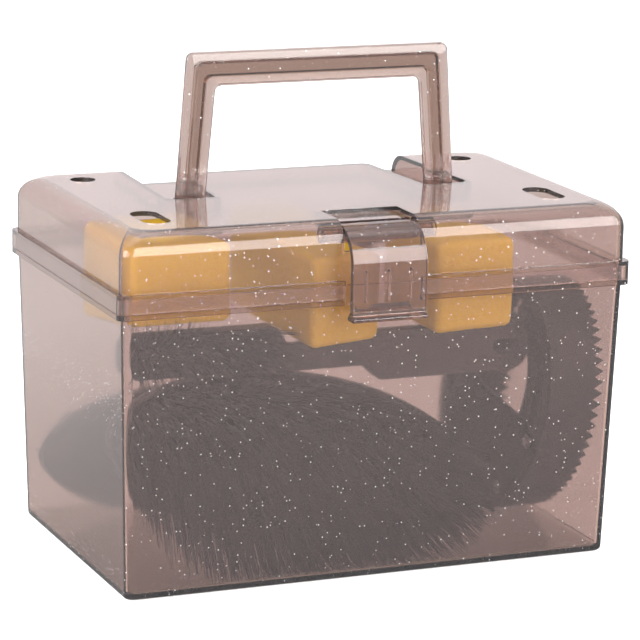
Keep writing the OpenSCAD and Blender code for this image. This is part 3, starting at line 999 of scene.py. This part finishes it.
@dataclass
class HandledBrush:
    """Long brush with a head of soft hair, a neck and a grip.

    Attributes:
        hair: Size and set of the hair.
        seed: Seed of its random draws.
        corner: Radius of the corners of the slab that carries the hair.
        margin: Bare border round the hair.
        jitter: Unevenness of the tufts' places, as a share of their distance.
        tip_power: Power with which the tips spread more than the roots.
        fan: How far the upper tips spread upwards.
        fan_middle: Share of the fan at the head's middle.
        fan_side: How fast that share grows to the left.
        drift: How far the leftmost tips spread to the left.
        name: Name of the brush.
    """

    hair: Hair
    seed: int
    corner: float = 6.0 * MM
    margin: float = 2.2 * MM
    jitter: float = 0.2
    tip_power: float = 1.8
    fan: float = 10.0 * MM
    fan_middle: float = 0.5
    fan_side: float = 2.0
    drift: float = 3.0 * MM
    name: str = "handled_brush"

    def slab(self, bm: BMesh, half_l: float, half_w: float, thick: float) -> None:
        """Adds the slab that carries the hair.

        Args:
            bm: Mesh that takes it.
            half_l: Half its length.
            half_w: Half its width.
            thick: Its thickness.
        """
        bmesh.ops.create_cube(bm, size=2.0)
        bmesh.ops.scale(bm, vec=(half_l, half_w, thick / 2), verts=bm.verts[:])
        bmesh.ops.translate(bm, vec=(0, 0, -thick / 2), verts=bm.verts[:])
        upright = [e for e in bm.edges if abs(e.verts[0].co.z - e.verts[1].co.z) > thick / 2]
        round_edges(bm, upright, self.corner, segments=5)

    def sites(self, draw: random.Random, half_l: float, half_w: float) -> list[tuple[float, float]]:
        """Works out the places of the tufts, in rows and columns.

        Args:
            draw: Source of the small unevenness.
            half_l: Half the slab's length.
            half_w: Half the slab's width.

        Returns:
            Places on the root plane.
        """
        span_l, span_w = half_l - self.margin, half_w - self.margin
        across, rows = int(span_l / self.hair.pitch), int(span_w / self.hair.pitch)
        places = []
        for j in range(-rows, rows + 1):
            for i in range(-across, across + 1):
                x = (i + draw.uniform(-self.jitter, self.jitter)) * span_l / across
                y = (j + draw.uniform(-self.jitter, self.jitter)) * span_w / rows
                places.append((x, y))
        return places

    def spread(self, bm: BMesh, half_l: float, half_w: float) -> None:
        """Spreads the tips to the left and upwards.

        Args:
            bm: Mesh with the planted hairs.
            half_l: Half the slab's length.
            half_w: Half the slab's width.
        """
        for v in bm.verts:
            if v.co.z > 0:
                tipward = (v.co.z / self.hair.length) ** self.tip_power
                v.co.x -= self.drift * tipward * max(0.0, -v.co.x / half_l) ** 2
                left = clamp(self.fan_middle - self.fan_side * v.co.x / half_l)
                v.co.y += self.fan * tipward * left * clamp(v.co.y / half_w)

    def build(self, plastic: Material, fibre: Material) -> list[Object]:
        """Builds the brush.

        Args:
            plastic: Finish of the body.
            fibre: Finish of the hair.

        Returns:
            Its pieces.
        """
        node = f"{self.name}_body"
        body = settle(moulding(f"{node}_moulding", node, plastic), Body.TUB, Slot.DARK, node)
        low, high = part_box(f"{self.name}_bristles")
        middle = (low + high) / 2
        half_l, half_w = (high.x - low.x) / 2, (high.z - low.z) / 2
        thick = high.y - (low.y + self.hair.length)
        bm = bmesh.new()
        self.slab(bm, half_l, half_w, thick)
        tufts = Tufts(self.hair, self.seed)
        places = self.sites(tufts.draw, half_l, half_w)
        count = tufts.plant(bm, places, Vector((half_l, half_w, 0)))
        tufts.clear()
        self.spread(bm, half_l, half_w)
        turn = Matrix.Rotation(math.radians(90), 4, "X")
        placed = Matrix.Translation((middle.x, high.y - thick, middle.z)) @ turn
        bmesh.ops.transform(bm, matrix=placed, verts=bm.verts[:])
        return [body, settle_hair(self.name, bm, fibre, count)]


OVAL_BRUSH = OvalBrush(
    name="oval_brush",
    length=186 * MM,
    width=83 * MM,
    power=1.06,
    tilt=13.0,
    facing=Facing.FRONT,
    hair=Hair(
        length=26.7 * MM, root=0.34 * MM, tip=0.12 * MM, per_tuft=6,
        pitch=3.3 * MM, splay=0.20, bend=1.8 * MM, sag=15.0 * MM,
    ),
    seed=11,
)
FACE_BRUSH = OvalBrush(
    name="face_brush",
    length=125 * MM,
    width=61 * MM,
    power=1.2,
    tilt=0.0,
    facing=Facing.BACK,
    hair=Hair(
        length=13.7 * MM, root=0.28 * MM, tip=0.10 * MM, per_tuft=6,
        pitch=3.2 * MM, splay=0.08, bend=0.8 * MM,
    ),
    seed=12,
)
HANDLED_BRUSH = HandledBrush(
    hair=Hair(
        length=18.7 * MM, root=0.26 * MM, tip=0.08 * MM, per_tuft=7,
        pitch=3.2 * MM, splay=0.22, bend=1.4 * MM,
    ),
    seed=13,
)


# The comb


@dataclass
class CurryComb:
    """Oval comb of two toothed rings with an arched hand strap held by four studs."""

    tilt: float = 45.0
    strap_width: float = 45.4 * MM
    strap_thick: float = 2.0 * MM
    strap_half: float = 45.6 * MM
    arch_rise: float = 16.0 * MM
    arch_half: float = 32.0 * MM
    columns: int = 12
    steps: int = 48

    def placed(self) -> Matrix:
        """Transform from the comb's own frame, teeth upwards, to the box."""
        low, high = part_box("curry_comb")
        middle = (low + high) / 2
        lean = Matrix.Rotation(math.radians(self.tilt), 4, "X")
        turn = lean @ Matrix.Rotation(math.radians(90), 4, "Y")
        return Matrix.Translation((low.x, middle.y, middle.z)) @ turn

    def strap(self, material: Material) -> Object:
        """Arched strap with its own weave map.

        Args:
            material: Its finish.

        Returns:
            The strap.
        """
        bm = bmesh.new()
        bmesh.ops.create_grid(
            bm, x_segments=self.columns, y_segments=self.steps, size=0.5, calc_uvs=True
        )
        for v in bm.verts:
            y = v.co.y * 2 * self.strap_half
            s = min(abs(y) / self.arch_half, 1.0)
            v.co = (v.co.x * self.strap_width, y, -self.arch_rise * math.cos(math.pi / 2 * s) ** 2)
        bmesh.ops.solidify(bm, geom=bm.faces[:], thickness=self.strap_thick)
        bmesh.ops.recalc_face_normals(bm, faces=bm.faces[:])
        highest = max(v.co.z for v in bm.verts)
        bmesh.ops.translate(bm, vec=(0, 0, -highest), verts=bm.verts[:])
        bmesh.ops.transform(bm, matrix=self.placed(), verts=bm.verts[:])
        for face in bm.faces:
            face.smooth = True
        return add_object("comb_hand_strap", bm, material)

    def build(self) -> list[Object]:
        """Builds the comb, its strap and its studs."""
        rubber, weave, plated = COMB_RUBBER.make(), STRAP.make(), STUD.make()
        rings = moulding("comb_rings", "curry_comb", rubber)
        settle(rings, Body.TUB, Slot.DARK, "curry_comb")
        strap = self.strap(weave)
        settle(strap, Body.TUB, Slot.WEBBING, "curry_comb_strap")
        studs = moulding("comb_strap_studs", "curry_comb_studs", plated)
        settle(studs, Body.TUB, Slot.STUD, "curry_comb_studs")
        return [rings, strap, studs]


# The sponges


@dataclass
class Sponges:
    """Three blocks of yellow foam.

    Attributes:
        soft_edge: Radius of the blocks' edges.
        step: Size of a mesh face.
        pore: Size of the pores' cells.
        pore_share: Share of its cell that a pore takes up.
        pit: Depth of a pore.
        wave: Depth of the surface's soft waves.
        wave_size: Size of those waves.
        fill: How full the foam is, from 0, slack, to 1, tight; not used.
        lifts: How far each block's lower front edge is pressed up at its left and right end.
    """

    soft_edge: float = 4.0 * MM
    step: float = 1.3 * MM
    pore: float = 2.6 * MM
    pore_share: float = 0.45
    pit: float = 0.45 * MM
    wave: float = 0.5 * MM
    wave_size: float = 14 * MM
    fill: float = 0.9
    lifts: dict[str, tuple[float, float]] = field(
        default_factory=lambda: {
            "left": (8.2 * MM, 8.2 * MM),
            "middle": (1.2 * MM, 4.6 * MM),
            "right": (0.6 * MM, 2.0 * MM),
        }
    )

    def grid(self, size: Vector) -> BMesh:
        """Makes a block about the origin, cut into small faces.

        Args:
            size: Its size.

        Returns:
            Its mesh.
        """
        bm = bmesh.new()
        bmesh.ops.create_cube(bm, size=1.0)
        bmesh.ops.scale(bm, vec=size, verts=bm.verts[:])
        for axis in range(3):
            cuts = int(size[axis] / self.step)
            normal = [0.0, 0.0, 0.0]
            normal[axis] = 1.0
            for k in range(1, cuts):
                spot = [0.0, 0.0, 0.0]
                spot[axis] = -size[axis] / 2 + size[axis] * k / cuts
                bmesh.ops.bisect_plane(
                    bm, geom=bm.verts[:] + bm.edges[:] + bm.faces[:], plane_co=spot, plane_no=normal
                )
        return bm

    def block(self, node: str, material: Material, lift: tuple[float, float]) -> Object:
        """Pitted foam block in the space of its CAD solid.

        Args:
            node: CAD node that it stands for.
            material: Its finish.
            lift: How far its lower front edge is pressed up at the left and right end.

        Returns:
            The block.
        """
        low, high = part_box(node)
        size = high - low
        bm = self.grid(size)
        inner = size / 2 - Vector((self.soft_edge,) * 3)
        for v in bm.verts:
            core = Vector(clamp(c, -h, h) for c, h in zip(v.co, inner))
            way = (v.co - core).normalized()
            near = noise.voronoi((v.co + low) / self.pore)[0][0]
            dent = self.pit * max(0.0, 1 - near / self.pore_share)
            sway = self.wave * (1 + noise.noise((v.co + low) / self.wave_size)) / 2
            v.co = core + way * (self.soft_edge - dent - sway)
        bmesh.ops.translate(bm, vec=(low + high) / 2, verts=bm.verts[:])
        for v in bm.verts:
            across, deep, tall = ((c - a) / s for c, a, s in zip(v.co, low, size))
            front = lift[0] + (lift[1] - lift[0]) * across
            v.co.z += front * (1 - deep) * (1 - tall)
        for face in bm.faces:
            face.smooth = True
        piece = add_object(f"{node}_foam", bm, material)
        settle(piece, Body.TUB, Slot.SPONGE, node)
        return piece

    def build(self) -> list[Object]:
        """Builds the three sponges."""
        foam = SPONGE.make()
        return [self.block(f"sponge_{side}", foam, lift) for side, lift in self.lifts.items()]


# The studio


@dataclass(frozen=True)
class Lamp:
    """Soft rectangular lamp, in metres and watts."""

    name: str
    place: Sequence[float]
    aim: Sequence[float]
    size: tuple[float, float]
    power: float

    def build(self) -> None:
        """Adds the lamp to the scene."""
        data = bpy.data.lights.new(self.name, "AREA")
        data.shape = "RECTANGLE"
        data.size, data.size_y = self.size
        data.energy = self.power
        made = bpy.data.objects.new(self.name, data)
        turn = (Vector(self.aim) - Vector(self.place)).to_track_quat("-Z", "Y")
        made.matrix_world = Matrix.Translation(self.place) @ turn.to_matrix().to_4x4()
        bpy.context.scene.collection.objects.link(made)


BOX_MIDDLE = (0.0, 0.0, 0.1)


@dataclass
class Studio:
    """White floor, soft lamps and the camera of the photograph, in metres.

    Attributes:
        stand: Place of the camera.
        heading: Way the camera looks, in degrees clockwise from straight back.
        pitch: Its tilt in degrees, upwards.
        roll: Its roll in degrees, anticlockwise.
        sensor: Width of its sensor in millimetres.
        lens: Its focal length in millimetres.
        clip: Nearest and farthest distance that it sees.
        near_side: Light of the room on the camera's side.
        far_side: Light of the room behind the box.
        room_turn: How fast the one side passes into the other.
        room_tint: Tint of the room in what it lights and what mirrors it.
        floor_size, floor_colour, floor_drop: Half the floor's size, its colour and its gap to the box.
        floor_lift: Light that keeps the floor white for the camera.
        floor_mirrored: Light of the floor in mirrors, in front of the box.
        floor_back: Light of the floor in mirrors, far behind the box.
        mirrored_rise: How fast the one passes into the other.
        passed_rise: How fast the floor behind the clear walls turns plain white.
        bounces, open_bounces: Number of light bounces, and of passes through open surfaces.
        lamps: The lamps.
    """

    stand: tuple[float, float, float] = (-0.587685, -1.406988, 0.459556)
    heading: float = 22.7639
    pitch: float = -13.1103
    roll: float = 1.1016
    sensor: float = 36.0
    lens: float = 186.32
    clip: tuple[float, float] = (0.05, 50.0)
    near_side: float = 0.35
    far_side: float = 1.46
    room_turn: float = 0.9
    room_tint: Colour = (1.0, 0.945, 0.96)
    floor_size: float = 6.0
    floor_colour: Colour = (0.94, 0.94, 0.94)
    floor_drop: float = 0.4 * MM
    floor_lift: float = 0.5
    floor_mirrored: float = 0.44
    floor_back: float = 1.3
    mirrored_rise: float = 2.2
    passed_rise: float = 2.5
    bounces: int = 32
    open_bounces: int = 48
    lamps: tuple[Lamp, ...] = (
        Lamp("key_softbox", place=(0.60, -1.13, 0.68), aim=(0.20, 0.0, 0.68), size=(1.0, 1.08), power=26.0),
        Lamp("top_softbox", place=(-0.1, 0.2, 1.7), aim=BOX_MIDDLE, size=(1.5, 1.2), power=8.0),
        Lamp("left_softbox", place=(-1.3, -0.4, 0.7), aim=BOX_MIDDLE, size=(0.9, 0.9), power=26.0),
        Lamp("near_softbox", place=(-1.0, -1.15, 0.65), aim=BOX_MIDDLE, size=(0.8, 0.8), power=8.0),
    )

    def camera(self) -> None:
        """Sets the camera up."""
        data = bpy.data.cameras.new("camera")
        data.sensor_fit = "HORIZONTAL"
        data.sensor_width = self.sensor
        data.lens = self.lens
        data.clip_start, data.clip_end = self.clip
        made = bpy.data.objects.new("camera", data)
        made.matrix_world = (
            Matrix.Translation(self.stand)
            @ Matrix.Rotation(math.radians(-self.heading), 4, "Z")
            @ Matrix.Rotation(math.radians(90 + self.pitch), 4, "X")
            @ Matrix.Rotation(math.radians(self.roll), 4, "Z")
        )
        bpy.context.scene.collection.objects.link(made)
        bpy.context.scene.camera = made

    @staticmethod
    def ray(bench: Bench, *kinds: str) -> Value:
        """Tells rays of the given kinds from others.

        Args:
            bench: Bench of the world or the floor.
            kinds: Kinds of ray.

        Returns:
            One for those rays, and zero for others.
        """
        path = bench.node("ShaderNodeLightPath")
        return bench.clamped(sum(bench.read(path, f"Is {kind} Ray") for kind in kinds))

    def world(self) -> None:
        """White world, darker on the camera's side for what it lights and what mirrors it."""
        world = bpy.data.worlds.new("white_room")
        bench = Bench(world)
        way = bench.value("ShaderNodeTexCoord", output="Generated")
        depth = bench.value("ShaderNodeSeparateXYZ", {}, {0: way}, "Y")
        side = bench.ramp(depth, self.room_turn, start=0.5)
        room = self.near_side + (self.far_side - self.near_side) * side
        seen = self.ray(bench, "Camera", "Transmission")
        level = room + (1 - room) * seen
        tint = bench.blend(seen, self.room_tint, WHITE)
        bench.finish(bench.value("ShaderNodeBackground", {}, {"Color": tint, "Strength": level}))
        bpy.context.scene.world = world

    def floor(self) -> None:
        """White floor that keeps the object's shadow."""
        bm = bmesh.new()
        bmesh.ops.create_grid(bm, x_segments=1, y_segments=1, size=self.floor_size)
        bench = Bench(bpy.data.materials.new("white_floor"))
        lift = self.ray(bench, "Camera") * self.floor_lift
        painted = bench.value(
            "ShaderNodeAddShader",
            {},
            {
                0: bench.value("ShaderNodeBsdfDiffuse", {}, {"Color": self.floor_colour}),
                1: bench.value("ShaderNodeEmission", {}, {"Color": WHITE, "Strength": lift}),
            },
        )
        depth = bench.value("ShaderNodeSeparateXYZ", {}, {0: bench.place()}, "Y")
        passed = self.ray(bench, "Transmission")
        mirrored = self.ray(bench, "Glossy") * (1 - passed)
        behind = bench.ramp(depth, self.mirrored_rise, start=0.0)
        mirror_level = self.floor_mirrored + (self.floor_back - self.floor_mirrored) * behind
        shade = passed + mirrored * mirror_level
        plain = bench.value("ShaderNodeEmission", {}, {"Color": WHITE, "Strength": shade})
        share = mirrored + passed * bench.ramp(depth, self.passed_rise, start=0.5)
        surface = bench.value("ShaderNodeMixShader", {}, {0: share, 1: painted, 2: plain})
        made = add_object("studio_floor", bm, bench.finish(surface))
        made.location.z = -self.floor_drop

    def build(self) -> None:
        """Sets the studio up."""
        self.camera()
        self.world()
        self.floor()
        for lamp in self.lamps:
            lamp.build()
        scene = bpy.context.scene
        scene.view_settings.view_transform = "Standard"
        scene.cycles.max_bounces = self.bounces
        scene.cycles.transmission_bounces = self.bounces
        scene.cycles.transparent_max_bounces = self.open_bounces


def main() -> None:
    """Builds the box, its contents and the studio, and reports each piece."""
    logging.basicConfig(level=logging.INFO, format="%(name)s: %(message)s")
    Studio().build()
    pieces = Casing().build()
    plastic, fibre = BRUSH_BACK.make(), HAIR.make()
    for brush in (OVAL_BRUSH, FACE_BRUSH, HANDLED_BRUSH):
        pieces += brush.build(plastic, fibre)
    pieces += CurryComb().build()
    pieces += Sponges().build()
    log.info("%d pieces", len(pieces))


if __name__ == "__main__":
    main()
